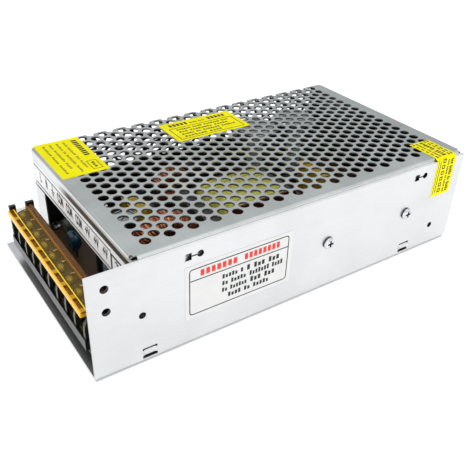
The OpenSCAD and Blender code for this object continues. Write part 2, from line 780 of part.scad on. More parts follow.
module adjuster_body() color("royalblue") in_frame() translate([trim_at[0], trim_at[1], board_top])
    difference() {
        linear_extrude(trim_h) polygon(round_rect(trim_w, trim_w, 0.8));
        translate([0, 0, trim_h - 1.2]) cylinder(r = rotor_r + rotor_gap, h = 2);
        translate([0, 0, trim_h - 3.6]) cylinder(r = 1, h = 3);
    }

module adjuster_rotor() color("white") in_frame() translate([trim_at[0], trim_at[1], board_top])
    difference() {
        union() {
            translate([0, 0, trim_h - 1.2 + rotor_gap]) cylinder(r = rotor_r, h = 1.5);
            translate([0, 0, trim_h - 3.2]) cylinder(r = 0.8, h = 3);
        }
        block([-rotor_r * 0.75, -0.35, trim_h], [rotor_r * 1.5, 0.7, 2]);
    }

module status_light() color("limegreen") in_frame() translate([led_at[0], led_at[1], board_top]) {
    cylinder(d = led_d + 0.8, h = 1);
    rotate_extrude() polygon(concat([[0, 0.5], [led_d / 2, 0.5]], arc([0, 3.2], led_d / 2, 0, 90)));
}

module selector_body() color("#c22a22") in_frame() difference() {
    block([selector_x - selector_l / 2, selector_y - selector_d, board_top],
        [selector_l, selector_d, selector_h]);
    // slot, wider behind its mouth to keep the slider in
    block([selector_x - slot_l / 2, selector_y - 3, selector_mid - slider_h / 2 - 0.3],
        [slot_l, 4, slider_h + 0.6]);
    block([selector_x - slot_l / 2, selector_y - 3, selector_mid - slider_h / 2 - 1.2],
        [slot_l, 1.8, slider_h + 2.4]);
}

module selector_slider() color("#1d1d1f") in_frame() {
    x = selector_x - selector_run / 2 - slider_l / 2;
    block([x, selector_y - 2.7, selector_mid - slider_h / 2],
        [slider_l, case_w - 0.2 - selector_y + 2.7, slider_h]);
    block([x, selector_y - 2.7, selector_mid - slider_h / 2 - 0.9], [slider_l, 1.2, slider_h + 1.8]);
}

// closed core with two windows and a double-width middle leg
module transformer_core() color("#3b3b3e") in_frame()
    on_board(xfmr_at) translate([0, -xfmr_l / 2, xfmr_axis - xfmr_h / 2])
        linear_extrude(xfmr_h) difference() {
            translate([-xfmr_w / 2, 0])
                square([xfmr_w, xfmr_l]);
            for (x = [xfmr_leg, xfmr_leg - xfmr_w / 2])
                translate([x, xfmr_back])
                    square([xfmr_w / 2 - xfmr_leg * 2, xfmr_l - 2 * xfmr_back]);
        }

module transformer_bobbin() color("#5e1f1c") in_frame()
    on_board(xfmr_at) translate([0, 0, xfmr_axis]) {
        inner = xfmr_w - xfmr_leg * 2 - 0.8;
        half = bobbin_l / 2;
        difference() {
            union() {
                along_y(-half, half * 2) polygon(round_rect(tube_in + 2.4, xfmr_h + 2.8, 1));
                for (y = [-half, half - 1.2])
                    along_y(y, 1.2) polygon(round_rect(inner, xfmr_wind_h + 1, 3));
            }
            along_y(-half - eps, half * 2 + 2 * eps) square([tube_in, xfmr_h + 0.4], center = true);
        }
        // pin rails under the ends of the core
        for (s = [-1, 1])
            block([-inner / 2 + 2, s * (half + 2.4) - 3, -xfmr_axis],
                [inner - 4, 6, xfmr_axis - xfmr_h / 2 - 0.2]);
    }

module transformer_winding() color("#c9b23a") in_frame()
    on_board(xfmr_at) translate([0, 0, xfmr_axis]) {
        half = bobbin_l / 2 - 1.25;
        along_y(-half, half * 2) difference() {
            polygon(round_rect(xfmr_w - xfmr_leg * 2 - 2, xfmr_wind_h, 6));
            square([tube_in + 2.5, xfmr_h + 2.9], center = true);
        }
    }

module choke_core() color("#d8c948") in_frame() on_board(choke_at)
    translate([0, 0, choke_r + choke_section * 0.72 + choke_wire + 0.1])
        ring_core(choke_r, choke_section);

module choke_winding() color("#b5651d") in_frame() on_board(choke_at)
    translate([0, 0, choke_r + choke_section * 0.72 + choke_wire + 0.1])
        turns(choke_r, choke_section, choke_wire, 0, 360, choke_turns);

module filter_core() color("#2f4f3a") in_frame() on_board(filter_at)
    translate([0, 0, filter_r + filter_section * 0.72 + filter_wire + 0.1])
        ring_core(filter_r, filter_section);

module filter_winding() color("#a3541a") in_frame() on_board(filter_at)
    translate([0, 0, filter_r + filter_section * 0.72 + filter_wire + 0.1])
        for (a = [25, 205])
            turns(filter_r, filter_section, filter_wire, a, a + 130, filter_turns);

module drive_core() color("#3b3b3e") in_frame() on_board(drive_at)
    translate([0, -drive_l / 2, drive_foot + 0.1]) linear_extrude(drive_h) difference() {
        translate([-drive_w / 2, 0])
            square([drive_w, drive_l]);
        for (x = [drive_leg - drive_w / 2, drive_leg * 0.85])
            translate([x, drive_leg])
                square([drive_w / 2 - drive_leg * 1.85, drive_l - 2 * drive_leg]);
    }

module drive_winding() color("#c9b23a") in_frame() on_board(drive_at) {
    half = drive_l / 2 - drive_leg - 0.2;
    translate([0, 0, drive_foot + 0.1 + drive_h / 2]) along_y(-half, half * 2) difference() {
        polygon(round_rect(drive_w - drive_leg * 2 - 0.4, drive_h + 5, 2));
        square([drive_leg * 1.7 + 0.3, drive_h + 0.4], center = true);
    }
    // rails under both ends of the core
    for (y = [-drive_l / 2, drive_l / 2 - drive_leg + 0.2])
        block([-drive_w / 2 + 1, y, 0], [drive_w - 2, drive_leg - 0.2, drive_foot]);
}

module bulk_capacitors() color("#2b2f3a") in_frame()
    for (x = bulk_x)
        on_board([x, layout[1] - bulk_far]) can(bulk_d, bulk_h);

module output_capacitors() color("#26282c") in_frame()
    for (p = out_at)
        on_board(p) can(out_d, out_h);

module small_capacitors() color("#26282c") in_frame()
    for (p = small_at)
        on_board(p) can(small_d, small_h);

module film_capacitor() color("#d9b53a") in_frame() on_board(film_at) soft_box(film_box);

module line_capacitor() color("#d9b53a") in_frame() on_board(line_at) soft_box(line_box);

module disc_capacitors() color("#2f6fb0") in_frame()
    for (p = disc_at)
        on_board(p) disc(disc_d, disc_t, disc_gap);

module surge_disc() color("#2f6fb0") in_frame() on_board(surge_at) disc(surge_d, surge_t, disc_gap);

module inrush_disc() color("#3a4a3a") in_frame() on_board(inrush_at) disc(inrush_d, inrush_t, disc_gap);

module fuse_tube() color("lightcyan") in_frame() on_board(fuse_at) translate([0, 0, fuse_z])
    rotate([0, 90, 0]) difference() {
        cylinder(r = fuse_r - 0.15, h = fuse_l - 1, center = true);
        cylinder(r = fuse_r - 0.9, h = fuse_l, center = true);
    }

module fuse_caps() color("silver") in_frame() on_board(fuse_at) translate([0, 0, fuse_z])
    for (s = [0, 180])
        rotate([0, 90, s]) translate([0, 0, fuse_l / 2 - 5.5]) difference() {
            cylinder(r = fuse_r + 0.15, h = 5.5);
            translate([0, 0, -eps]) cylinder(r = fuse_r - 0.1, h = 5.5);
        }

// a spring clip holds each end of the fuse from both sides
module fuse_clips() color("#c8b478") in_frame() on_board(fuse_at)
    for (x = [-fuse_l / 2 + 0.8, fuse_l / 2 - 4.8]) {
        block([x, -fuse_r - 0.9, 0], [4, 2 * fuse_r + 1.8, 0.6]);
        for (y = [-fuse_r - 0.8, fuse_r + 0.2])
            block([x, y, 0.3], [4, 0.6, fuse_z + 1.9]);
    }

module bridge_rectifier() color("#1d1d1f") in_frame() on_board(rect_at) {
    along_y(-rect_box[1] / 2, rect_box[1]) difference() {
        polygon([[-rect_box[0] / 2, 3], [rect_box[0] / 2, 3], [rect_box[0] / 2, rect_box[2]],
            [3 - rect_box[0] / 2, rect_box[2] + 3], [-rect_box[0] / 2, rect_box[2]]]);
        translate([0, rect_box[2] / 2 + 3]) circle(d = 3.4);
    }
    for (i = [-1.5:1:1.5])
        translate([i * rect_box[0] / 4.2, 0, 0]) cylinder(d = 1.1, h = 4);
}

// a three-lead package clamped to the label wall
module power_package(x) {
    translate([x * spread[0], 0, 0]) {
        along_y(device_y, device_t) difference() {
            translate([-device_w / 2, device_z])
                square([device_w, device_h]);
            translate([0, device_hole_z]) circle(d = screw_d + 0.5);
        }
        for (i = [-1:1])
            block([i * device_w * 0.34 - 0.6, device_y + device_t / 2, board_top],
                [1.2, 0.6, lead_l + 1]);
    }
}

module output_rectifier() color("#1d1d1f") in_frame() power_package(device_x[0]);

module switching_transistor() color("#1d1d1f") in_frame() power_package(device_x[1]);

module insulating_pads() color("lightgray") in_frame()
    for (x = device_x)
        along_y(wall_t, pad_t) difference() {
            translate([x * spread[0] - device_w / 2 - 1, device_z - 0.5])
                square([device_w + 2, device_h + 1.5]);
            translate([x * spread[0], device_hole_z]) circle(d = screw_d + 0.4);
        }

module device_screws() color("silver") in_frame()
    for (x = device_x)
        translate([x * spread[0], 0, device_hole_z]) rotate([90, 0, 0])
            pan_screw(screw_d, device_y + device_t + 3, head_d, head_h);

module device_nuts() color("silver") in_frame()
    for (x = device_x)
        translate([x * spread[0], device_y + device_t, device_hole_z]) rotate([-90, 0, 0]) difference() {
            cylinder(d = screw_d * 2.1, h = 2.4, $fn = 6);
            translate([0, 0, -eps]) cylinder(d = screw_d + 0.1, h = 4);
        }

module control_chip() color("#1d1d1f") in_frame() on_board(chip_at) {
    edge = chip_l / 2 - 0.3;
    along_y(-chip_w / 2, chip_w) polygon([[-chip_l / 2, chip_h * 0.46], [-edge, 0.5], [edge, 0.5],
        [chip_l / 2, chip_h * 0.46], [edge, chip_h], [-edge, chip_h]]);
    for (i = [0:7], s = [-1, 1]) {
        x = (i - 3.5) * chip_l / 7.56 - 0.25;
        block([x, s * (chip_w / 2 + 0.3) - 0.6, chip_h * 0.4], [0.5, 1.2, 0.4]);
        block([x, s * (chip_w / 2 + 0.7) - 0.2, 0], [0.5, 0.4, chip_h * 0.4 + 0.4]);
    }
}

// power resistors lying along the case on bent leads
module resistors() color("#8fa9a0") in_frame()
    for (p = res_at)
        on_board(p) {
            axis = res_d * 0.7;
            end = res_l / 2;
            slim = res_d * 0.41;
            translate([0, 0, axis]) rotate([0, 90, 0]) rotate_extrude()
                polygon([[0, -end], [slim, -end], [res_d / 2, 0.6 - end], [res_d / 2, 2.2 - end],
                    [slim, 2.8 - end], [slim, end - 2.8], [res_d / 2, end - 2.2], [res_d / 2, end - 0.6],
                    [slim, end], [0, end]]);
            translate([-res_span / 2, 0, axis]) rotate([0, 90, 0]) cylinder(d = 0.8, h = res_span);
            for (x = [-res_span / 2, res_span / 2])
                translate([x, 0, 0]) cylinder(d = 0.9, h = axis + 0.4);
        }

module rating_label() color("whitesmoke") in_frame()
    block([rating_at[0], -label_t, rating_at[1]], [rating_size[0], label_t, rating_size[1]]);

module terminal_label() color("whitesmoke") in_frame()
    block([bay_l - label_t, cover_y + 2, case_h - strip_drop - strip_h],
        [label_t, case_w - cover_y - cover_r - relief - 4, strip_h]);

module corner_label() color("gold") in_frame()
    block([bay_l + cover_r, case_w - cover_r - corner_size[1], case_h],
        [corner_size[0], corner_size[1], label_t]);

module top_label() color("gold") in_frame()
    block([bay_l + top_at[0], case_w - top_at[1], case_h], [top_size[0], top_size[1], label_t]);

// a seal over the seam between the top and the label wall
module seal_label() color("gold") in_frame() along_x(case_l - seal_end - seal_w, seal_w) polygon([
    [seal_top, case_h], [cover_y + cover_r, case_h], [cover_y + cover_r * 0.4, case_h - 0.1],
    [0, wall_top + 0.05], [0, wall_top - seal_down], [-label_t, wall_top - seal_down],
    [-label_t, wall_top + 0.1], [cover_y + cover_r * 0.3, case_h + label_t - 0.06],
    [cover_y + cover_r, case_h + label_t], [seal_top, case_h + label_t]]);

chassis();
cover();
cover_screws();
insulating_sheet();
board_standoffs();
circuit_board();
board_screws();
terminal_block();
terminal_plates();
terminal_screws();
terminal_cover();
adjuster_body();
adjuster_rotor();
status_light();
selector_body();
selector_slider();
transformer_core();
transformer_bobbin();
transformer_winding();
choke_core();
choke_winding();
filter_core();
filter_winding();
drive_core();
drive_winding();
bulk_capacitors();
output_capacitors();
small_capacitors();
film_capacitor();
line_capacitor();
disc_capacitors();
surge_disc();
inrush_disc();
fuse_tube();
fuse_caps();
fuse_clips();
bridge_rectifier();
output_rectifier();
switching_transistor();
insulating_pads();
device_screws();
device_nuts();
control_chip();
resistors();
rating_label();
terminal_label();
corner_label();
top_label();
seal_label();
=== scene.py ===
"""Looks of an enclosed switching power supply: folded aluminium case, punched cover,
screw terminals under a clear amber cover, printed film labels and the parts on the board."""
import math

import bmesh
import bpy
from mathutils import Matrix, Vector


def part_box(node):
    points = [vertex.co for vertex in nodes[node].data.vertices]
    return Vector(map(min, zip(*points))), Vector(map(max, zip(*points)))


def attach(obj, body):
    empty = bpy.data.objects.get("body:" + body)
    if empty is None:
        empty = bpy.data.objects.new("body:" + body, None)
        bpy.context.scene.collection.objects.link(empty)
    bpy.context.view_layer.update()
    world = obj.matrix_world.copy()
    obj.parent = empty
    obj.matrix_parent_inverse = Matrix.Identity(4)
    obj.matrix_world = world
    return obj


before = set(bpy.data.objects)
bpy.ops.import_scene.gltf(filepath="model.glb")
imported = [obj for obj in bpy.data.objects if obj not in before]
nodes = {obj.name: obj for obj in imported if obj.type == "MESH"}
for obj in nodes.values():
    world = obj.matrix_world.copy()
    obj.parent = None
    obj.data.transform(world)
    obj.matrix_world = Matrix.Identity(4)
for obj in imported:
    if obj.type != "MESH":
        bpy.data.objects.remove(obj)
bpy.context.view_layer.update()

MM = 0.001
# the terminals, in mm: how many ways, and from one way to the next
WAYS = 9
WAY_PITCH = 9.5
# from the foot of the amber cover's rim to its upper face, in mm
LID_TOP = 2.6


# small helpers

def srgb(code):
    """A hex colour as linear RGBA."""
    parts = [int(code[i:i + 2], 16) / 255 for i in (1, 3, 5)]
    return tuple(c / 12.92 if c <= 0.04045 else ((c + 0.055) / 1.055) ** 2.4 for c in parts) + (1.0,)


def feed(tree, node, inputs):
    """Sets or links a node's inputs, by their names or in their order. A node that is given as a value
    stands for the first output it has in use."""
    sockets = [socket for socket in node.inputs if socket.enabled]
    named = inputs if isinstance(inputs, dict) else dict(enumerate(inputs))
    for key, value in named.items():
        socket = sockets[key] if isinstance(key, int) else next(s for s in sockets if s.name == key)
        if isinstance(value, bpy.types.Node):
            value = next(output for output in value.outputs if output.enabled)
        if isinstance(value, bpy.types.NodeSocket):
            tree.links.new(value, socket)
        else:
            socket.default_value = value


def add(tree, kind, inputs=(), stops=(), **settings):
    """Adds a shader node with its settings, its colour stops as (place, hex colour), and its inputs."""
    made = tree.nodes.new("ShaderNode" + kind)
    for key, value in settings.items():
        setattr(made, key, value)
    if stops:
        band = made.color_ramp.elements
        while len(band) < len(stops):
            band.new(0.5)
        for element, (place_on_band, code) in zip(band, stops):
            element.position = place_on_band
            element.color = srgb(code)
    feed(tree, made, inputs)
    return made


def surface(name, **values):
    """A new material: the material, its tree, its shader and its object coordinates."""
    made = bpy.data.materials.new(name)
    made.use_nodes = True
    tree = made.node_tree
    shader = tree.nodes["Principled BSDF"]
    feed(tree, shader, {key.replace("_", " "): value for key, value in values.items()})
    return made, tree, shader, add(tree, "TexCoord").outputs["Object"]


def spread(light, dark, margin=0.3):
    """Colour stops that spread the middle of a pattern's range over two tones."""
    return [(margin, dark), (1 - margin, light)]


def inside_of(tree, coord, low, high):
    """1 inside a box given by two corners in metres, else 0."""
    mask = None
    for spot, least, most in zip(add(tree, "SeparateXYZ", [coord]).outputs, low, high):
        within = add(tree, "Math", [spot, (least + most) / 2, (most - least) / 2], operation="COMPARE")
        mask = add(tree, "Math", [mask, within], operation="MULTIPLY") if mask else within
    return mask


def wear(material, *names):
    """Gives CAD nodes their finish."""
    for name in names:
        slots = nodes[name].data.materials
        slots.clear()
        slots.append(material)


# finishes

def sheet_aluminium(name, light, dark, grain_axis, shaded_inside, painted_top, punched=None, painted_band=None):
    """Rolled aluminium sheet, mill finish: a satin metal with a faint grain along the rolling direction and
    cloudy patches from handling. The grain is drawn 0.6 mm wide so that it shows. The next four arguments
    give: two corners of the space inside the case, where painted shade makes the sheet dull and dark; the
    two tones of painted light on the faces that look up, and the height in metres where they start; two
    corners of a punched wall whose hole edges, cut by the punch, are dark with painted shade; and two
    corners of a dark band of painted reflection, with the two places along Y that it fades between."""
    made, tree, shader, coord = surface(name, Metallic=1.0)
    grain_scale = [1 / (0.6 * MM)] * 3
    grain_scale[grain_axis] = 1 / (45 * MM)
    rolled = add(tree, "Mapping", {"Vector": coord, "Scale": grain_scale})
    grain = add(tree, "TexNoise", {"Vector": rolled, "Scale": 1.0, "Detail": 3.0})
    clouds = add(tree, "TexNoise", {"Vector": coord, "Scale": 1 / (38 * MM), "Detail": 4.0,
                                    "Roughness": 0.6})
    tone = add(tree, "Mix", {"Factor": 0.2, "A": clouds, "B": grain}, data_type="FLOAT")
    _, y, z = add(tree, "SeparateXYZ", [coord]).outputs
    _, normal_y, normal_z = add(tree, "SeparateXYZ", [add(tree, "NewGeometry").outputs["Normal"]]).outputs

    # painted light: the faces that look up, above the given height, take two tones of their own
    *painted_top_tones, lowest = painted_top
    looks_up = add(tree, "Math", [normal_z, 0.5], operation="GREATER_THAN")
    above = add(tree, "Math", [z, lowest], operation="GREATER_THAN")
    outer = add(tree, "Mix", {"Factor": add(tree, "Math", [looks_up, above], operation="MULTIPLY"),
                              "A": add(tree, "ValToRGB", [tone], spread(light, dark)),
                              "B": add(tree, "ValToRGB", [tone], spread(*painted_top_tones))}, data_type="RGBA")
    # painted reflection: a dark band on the sheet that fades out along Y
    if painted_band:
        *corners, dark_to, clear_from = painted_band
        fade = add(tree, "MapRange", {"Value": y, "From Min": dark_to, "From Max": clear_from,
                                      "To Min": 1.0, "To Max": 0.0})
        band = add(tree, "Math", [inside_of(tree, coord, *corners), fade], operation="MULTIPLY")
        band_reflection = add(tree, "ValToRGB", [tone], spread("#444440", "#393935"))
        outer = add(tree, "Mix", {"Factor": band, "A": outer, "B": band_reflection}, data_type="RGBA")
    # painted shade: the faces inside the case, and the hole edges of a punched wall, turn dark
    dull = inside_of(tree, coord, *shaded_inside)
    if punched:
        # painted shade on the hole edges
        facing = add(tree, "Math", [normal_y], operation="ABSOLUTE")
        edge = add(tree, "Math", [facing, 0.5], operation="LESS_THAN")
        hole_shade = add(tree, "Math", [inside_of(tree, coord, *punched), edge], operation="MULTIPLY")
        dull = add(tree, "Math", [dull, hole_shade], operation="MAXIMUM")
    inside_shade = add(tree, "ValToRGB", [tone], spread("#55585b", "#3c3e41"))
    feed(tree, shader, {
        "Base Color": add(tree, "Mix", {"Factor": dull, "A": outer, "B": inside_shade}, data_type="RGBA"),
        "Roughness": add(tree, "MapRange", {"Value": tone, "To Min": 0.30, "To Max": 0.42}),
        "Normal": add(tree, "Bump", {"Height": grain, "Strength": 0.06, "Distance": 0.02 * MM})})
    return made


def fine_metal(name, light, dark):
    """Plated or turned metal of small parts: a soft metal shine with tiny crystals about 0.4 mm across."""
    made, tree, shader, coord = surface(name, Metallic=1.0)
    crystals = add(tree, "TexVoronoi", {"Vector": coord, "Scale": 1 / (0.4 * MM)})
    grey = add(tree, "RGBToBW", [crystals.outputs["Color"]])
    feed(tree, shader, {
        "Base Color": add(tree, "ValToRGB", [grey], spread(light, dark, 0.2)),
        "Roughness": add(tree, "MapRange", {"Value": grey, "To Min": 0.22, "To Max": 0.36})})
    return made


def cross_head(name, light, dark, screws, axis, out, head):
    """A plated screw: the shine of the plating, painted shade on the upright faces of the head and its rim,
    and darker painted shade in the cross recess, where little light gets in. The recess is found by its
    depth under the head's face and by where its walls face. The head looks along an axis, out of the case by
    +1 or
    -1; its height is in mm."""
    made = fine_metal(name, light, dark)
    tree = made.node_tree
    shader = tree.nodes["Principled BSDF"]
    plated = shader.inputs["Base Color"].links[0].from_node
    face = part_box(screws)[out > 0]["XYZ".index(axis)]
    height = head * MM
    spot = add(tree, "SeparateXYZ", [add(tree, "TexCoord").outputs["Object"]]).outputs[axis]
    normal = add(tree, "SeparateXYZ", [add(tree, "NewGeometry").outputs["Normal"]]).outputs[axis]
    depth = add(tree, "Math", [spot, -out, out * face], operation="MULTIPLY_ADD")
    facing = add(tree, "Math", [normal], operation="ABSOLUTE")
    flat = add(tree, "Math", [facing, 0.95], operation="GREATER_THAN")
    sunk = add(tree, "Math", [depth, 0.7 * height, 0.15 * height], operation="COMPARE")
    bottom = add(tree, "Math", [flat, sunk], operation="MULTIPLY")
    upright = add(tree, "Math", [facing, 0.1], operation="LESS_THAN")
    shallow = add(tree, "Math", [depth, 0.58 * height], operation="LESS_THAN")
    walls = add(tree, "Math", [upright, shallow], operation="MULTIPLY")
    recess = add(tree, "Math", [bottom, walls], operation="MAXIMUM")
    # painted shade on the upright faces of the head, and darker painted shade in the cross recess
    upright_shade = add(tree, "Mix", {"Factor": upright, "A": plated, "B": srgb("#4a4c50")}, data_type="RGBA")
    shaded = add(tree, "Mix", {"Factor": recess, "A": upright_shade, "B": srgb("#131416")}, data_type="RGBA")
    feed(tree, shader, {"Base Color": shaded})
    return made


def moulded(name, light, dark, rough=(0.38, 0.52), grit=0.5, relief=0.01):
    """Moulded plastic: even colour with slight flow marks about 9 mm apart and a fine spark-eroded texture;
    its grit and relief are in mm."""
    made, tree, shader, coord = surface(name, IOR=1.5)
    flow = add(tree, "TexNoise", {"Vector": coord, "Scale": 1 / (9 * MM), "Detail": 3.0})
    sparks = add(tree, "TexNoise", {"Vector": coord, "Scale": 1 / (grit * MM), "Detail": 2.0})
    feed(tree, shader, {
        "Base Color": add(tree, "ValToRGB", [flow], spread(light, dark)),
        "Roughness": add(tree, "MapRange", {"Value": flow, "To Min": rough[0], "To Max": rough[1]}),
        "Normal": add(tree, "Bump", {"Height": sparks, "Strength": 0.25, "Distance": relief * MM})})
    return made


def amber_polycarbonate():
    """Clear amber polycarbonate: glossy and see-through in the plate, so the metal below glints brown under
    it, with faint flow lines 2 mm wide. The front edge, the ridge behind the windows and the line before the
    hinge carry painted highlights as bright lines. The windows sunk into the rim and the hinge edge carry
    painted shade, deep brown. Soft golden patches of painted highlight lie over each way, where its metal
    would throw light back into the plate."""
    made, tree, shader, coord = surface("amber_polycarbonate", IOR=1.5, Specular_IOR_Level=0.15)
    low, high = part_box("terminal_cover")
    x, y, _ = add(tree, "SeparateXYZ", [coord]).outputs
    drawn = add(tree, "Mapping", {"Vector": coord, "Scale": (1 / (2 * MM), 1 / (25 * MM), 1 / (2 * MM))})
    flow = add(tree, "TexNoise", {"Vector": drawn, "Scale": 1.0, "Detail": 3.0})

    # each band: its start in mm from the front, its colour, how clear it is and how solid it is
    # painted highlights on the front edge, the ridge and the line before the hinge; painted shade on the
    # hinge edge
    front_edge_highlight = (0.0, "#fcc414", "#404040", "#ffffff")
    rim = (0.62, "#cd9314", "#404040", "#ffffff")
    ridge = (2.36, "#ffdf32", "#202020", "#ffffff")
    plate = (2.8, "#8a7236", "#000000", "#8c8c8c")
    line_highlight = (8.7, "#d08a2c", "#505050", "#f4f4f4")
    hinge_edge_shade = (9.05, "#74470c", "#808080", "#f0f0f0")
    bands = [front_edge_highlight, rim, ridge, plate, line_highlight, hinge_edge_shade]
    width = (high[0] - low[0]) / MM
    across = add(tree, "MapRange", {"Value": x, "From Min": low[0], "From Max": high[0]})
    tint, clear, solid = [add(tree, "ValToRGB", [across], [(band[0] / width, band[k]) for band in bands])
                          for k in (1, 2, 3)]
    for banded in (tint, clear, solid):
        banded.color_ramp.interpolation = "CONSTANT"

    # a painted highlight, a golden patch for each way: half its length and width, and the middle of the
    # first one
    half_x = 1.5 * MM
    half_y = 2.3 * MM
    patch_x = low[0] + 4.8 * MM
    patch_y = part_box("terminal_block")[0][1] + 3.2 * MM
    pitch = WAY_PITCH * MM
    ways_along = add(tree, "Math", [y, 1 / pitch, 0.5 - patch_y / pitch], operation="MULTIPLY_ADD")
    part_way = add(tree, "Math", [ways_along], operation="FRACT")
    off_way = add(tree, "Math", [part_way, 0.5], operation="SUBTRACT")
    beside = add(tree, "Math", [off_way, pitch / half_y], operation="MULTIPLY")
    ahead = add(tree, "Math", [x, 1 / half_x, -patch_x / half_x], operation="MULTIPLY_ADD")
    ahead_squared = add(tree, "Math", [ahead, ahead], operation="MULTIPLY")
    reach = add(tree, "Math", [beside, beside, ahead_squared], operation="MULTIPLY_ADD")
    painted_glint = add(tree, "MapRange", {"Value": reach, "From Min": 0.15, "To Min": 0.85, "To Max": 0.0})
    tint = add(tree, "Mix", {"Factor": painted_glint, "A": tint, "B": srgb("#e6c048")}, data_type="RGBA")
    solid = add(tree, "Mix", {"Factor": painted_glint, "A": solid, "B": srgb("#acacac")}, data_type="RGBA")

    top = low[2] + LID_TOP * MM
    # painted shade in the windows sunk into the rim
    window_shade = inside_of(tree, coord, (low[0] + 0.6 * MM, low[1], top - 0.9 * MM),
                       (low[0] + 2.4 * MM, high[1], top - 0.12 * MM))
    tint = add(tree, "Mix", {"Factor": window_shade, "A": tint, "B": srgb("#83500a")}, data_type="RGBA")
    feed(tree, shader, {
        "Base Color": tint,
        "Transmission Weight": clear,
        "Alpha": solid,
        "Roughness": add(tree, "MapRange", {"Value": flow, "To Min": 0.04, "To Max": 0.12}),
        "Normal": add(tree, "Bump", {"Height": flow, "Strength": 0.15, "Distance": 0.05 * MM})})
    return made


def printed_film(name, light, dark, rough=0.32, shine=0.5):
    """Printed polyester label film: smooth and slightly glossy, with a faint waviness from being pressed on
    by hand, about 8 mm from wave to wave."""
    made, tree, shader, coord = surface(name, IOR=1.5, Roughness=rough, Specular_IOR_Level=shine)
    waves = add(tree, "TexNoise", {"Vector": coord, "Scale": 1 / (8 * MM), "Detail": 2.0})
    feed(tree, shader, {
        "Base Color": add(tree, "ValToRGB", [waves], spread(light, dark)),
        "Normal": add(tree, "Bump", {"Height": waves, "Strength": 0.2, "Distance": 0.05 * MM})})
    return made


def ink(name, light, dark):
    """Screen-printed ink: thin, matt, a little uneven where the 0.7 mm mesh let less through."""
    made, tree, shader, coord = surface(name, IOR=1.45, Roughness=0.55)
    mesh = add(tree, "TexNoise", {"Vector": coord, "Scale": 1 / (0.7 * MM), "Detail": 2.0})
    feed(tree, shader, {"Base Color": add(tree, "ValToRGB", [mesh], spread(light, dark, 0.35))})
    return made


def enamelled_copper(name, light, dark, ring_x, ring_z):
    """Enamelled copper wire on a ring with its axis along Y: a red-brown metal under a glossy lacquer. Sixty
    fine ridges round the ring, 0.7 to 1.1 mm apart, stand for the single wires that lie side by side."""
    made, tree, shader, coord = surface(name, Metallic=0.9, Coat_Weight=0.4, Coat_Roughness=0.15)
    x, _, z = add(tree, "SeparateXYZ", [coord]).outputs
    ridges_round = 60.0
    beside = add(tree, "Math", [x, ring_x], operation="SUBTRACT")
    above = add(tree, "Math", [z, ring_z], operation="SUBTRACT")
    turn = add(tree, "Math", [beside, above], operation="ARCTAN2")
    along_ridges = add(tree, "Math", [turn, ridges_round], operation="MULTIPLY")
    ridge = add(tree, "Math", [along_ridges], operation="SINE")
    level = add(tree, "MapRange", {"Value": ridge, "From Min": -1.0})
    feed(tree, shader, {
        # painted shade and painted highlight: the colour runs from dark in the grooves between wires to
        # light on their crests
        "Base Color": add(tree, "ValToRGB", [level], [(0.0, dark), (0.75, light)]),
        "Roughness": add(tree, "MapRange", {"Value": level, "To Min": 0.42, "To Max": 0.24}),
        "Normal": add(tree, "Bump", {"Height": level, "Strength": 0.6, "Distance": 0.25 * MM})})
    return made


def winding_tape():
    """Yellow polyester tape wound over a coil: glossy, with wrap edges about 3 mm apart and small creases
    about 4 mm long."""
    made, tree, shader, coord = surface("polyester_winding_tape", IOR=1.55)
    # a wave texture repeats every pi / 10 of its own unit
    wrap_scale = math.pi / 10 / (3 * MM)
    wraps = add(tree, "TexWave", {"Vector": coord, "Scale": wrap_scale, "Distortion": 1.5, "Detail": 2.0},
                wave_type="BANDS", bands_direction="Y", wave_profile="SAW")
    creases = add(tree, "TexNoise", {"Vector": coord, "Scale": 1 / (4 * MM), "Detail": 4.0})
    tone = add(tree, "Mix", {"Factor": 0.5, "A": wraps.outputs["Fac"], "B": creases}, data_type="FLOAT")
    feed(tree, shader, {
        "Base Color": add(tree, "ValToRGB", [tone], spread("#f0ec66", "#b4b62a", 0.25)),
        "Roughness": add(tree, "MapRange", {"Value": creases, "To Min": 0.18, "To Max": 0.42}),
        "Normal": add(tree, "Bump", {"Height": tone, "Strength": 0.4, "Distance": 0.15 * MM})})
    return made


def ferrite():
    """Sintered ferrite: a hard dark grey ceramic, dull where ground, with grains about 0.5 mm."""
    made, tree, shader, coord = surface("sintered_ferrite", IOR=1.9)
    grains = add(tree, "TexNoise", {"Vector": coord, "Scale": 1 / (0.5 * MM), "Detail": 3.0})
    feed(tree, shader, {
        "Base Color": add(tree, "ValToRGB", [grains], spread("#3a3a3e", "#1d1d20")),
        "Roughness": add(tree, "MapRange", {"Value": grains, "To Min": 0.4, "To Max": 0.6}),
        "Normal": add(tree, "Bump", {"Height": grains, "Strength": 0.3, "Distance": 0.03 * MM})})
    return made


def laminate(solder_side):
    """Phenolic board: brown paper laminate with a fibrous mottle about 1.5 mm long on the part side, and a
    dark green lacquer on the solder side, below the given height."""
    made, tree, shader, coord = surface("phenolic_board", IOR=1.55)
    fibre_scale = (1 / (1.5 * MM), 1 / (0.4 * MM), 1 / (0.4 * MM))
    laid = add(tree, "Mapping", {"Vector": coord, "Scale": fibre_scale})
    fibres = add(tree, "TexNoise", {"Vector": laid, "Scale": 1.0, "Detail": 4.0})
    height = add(tree, "SeparateXYZ", [coord]).outputs["Z"]
    under = add(tree, "Math", [height, solder_side], operation="LESS_THAN")
    paper = add(tree, "ValToRGB", [fibres], spread("#604522", "#3a2612"))
    lacquer = add(tree, "ValToRGB", [fibres], spread("#1f2c28", "#131c1a"))
    feed(tree, shader, {
        "Base Color": add(tree, "Mix", {"Factor": under, "A": paper, "B": lacquer}, data_type="RGBA"),
        "Roughness": add(tree, "MapRange", {"Value": fibres, "To Min": 0.35, "To Max": 0.55}),
        "Normal": add(tree, "Bump", {"Height": fibres, "Strength": 0.15, "Distance": 0.02 * MM})})
    return made


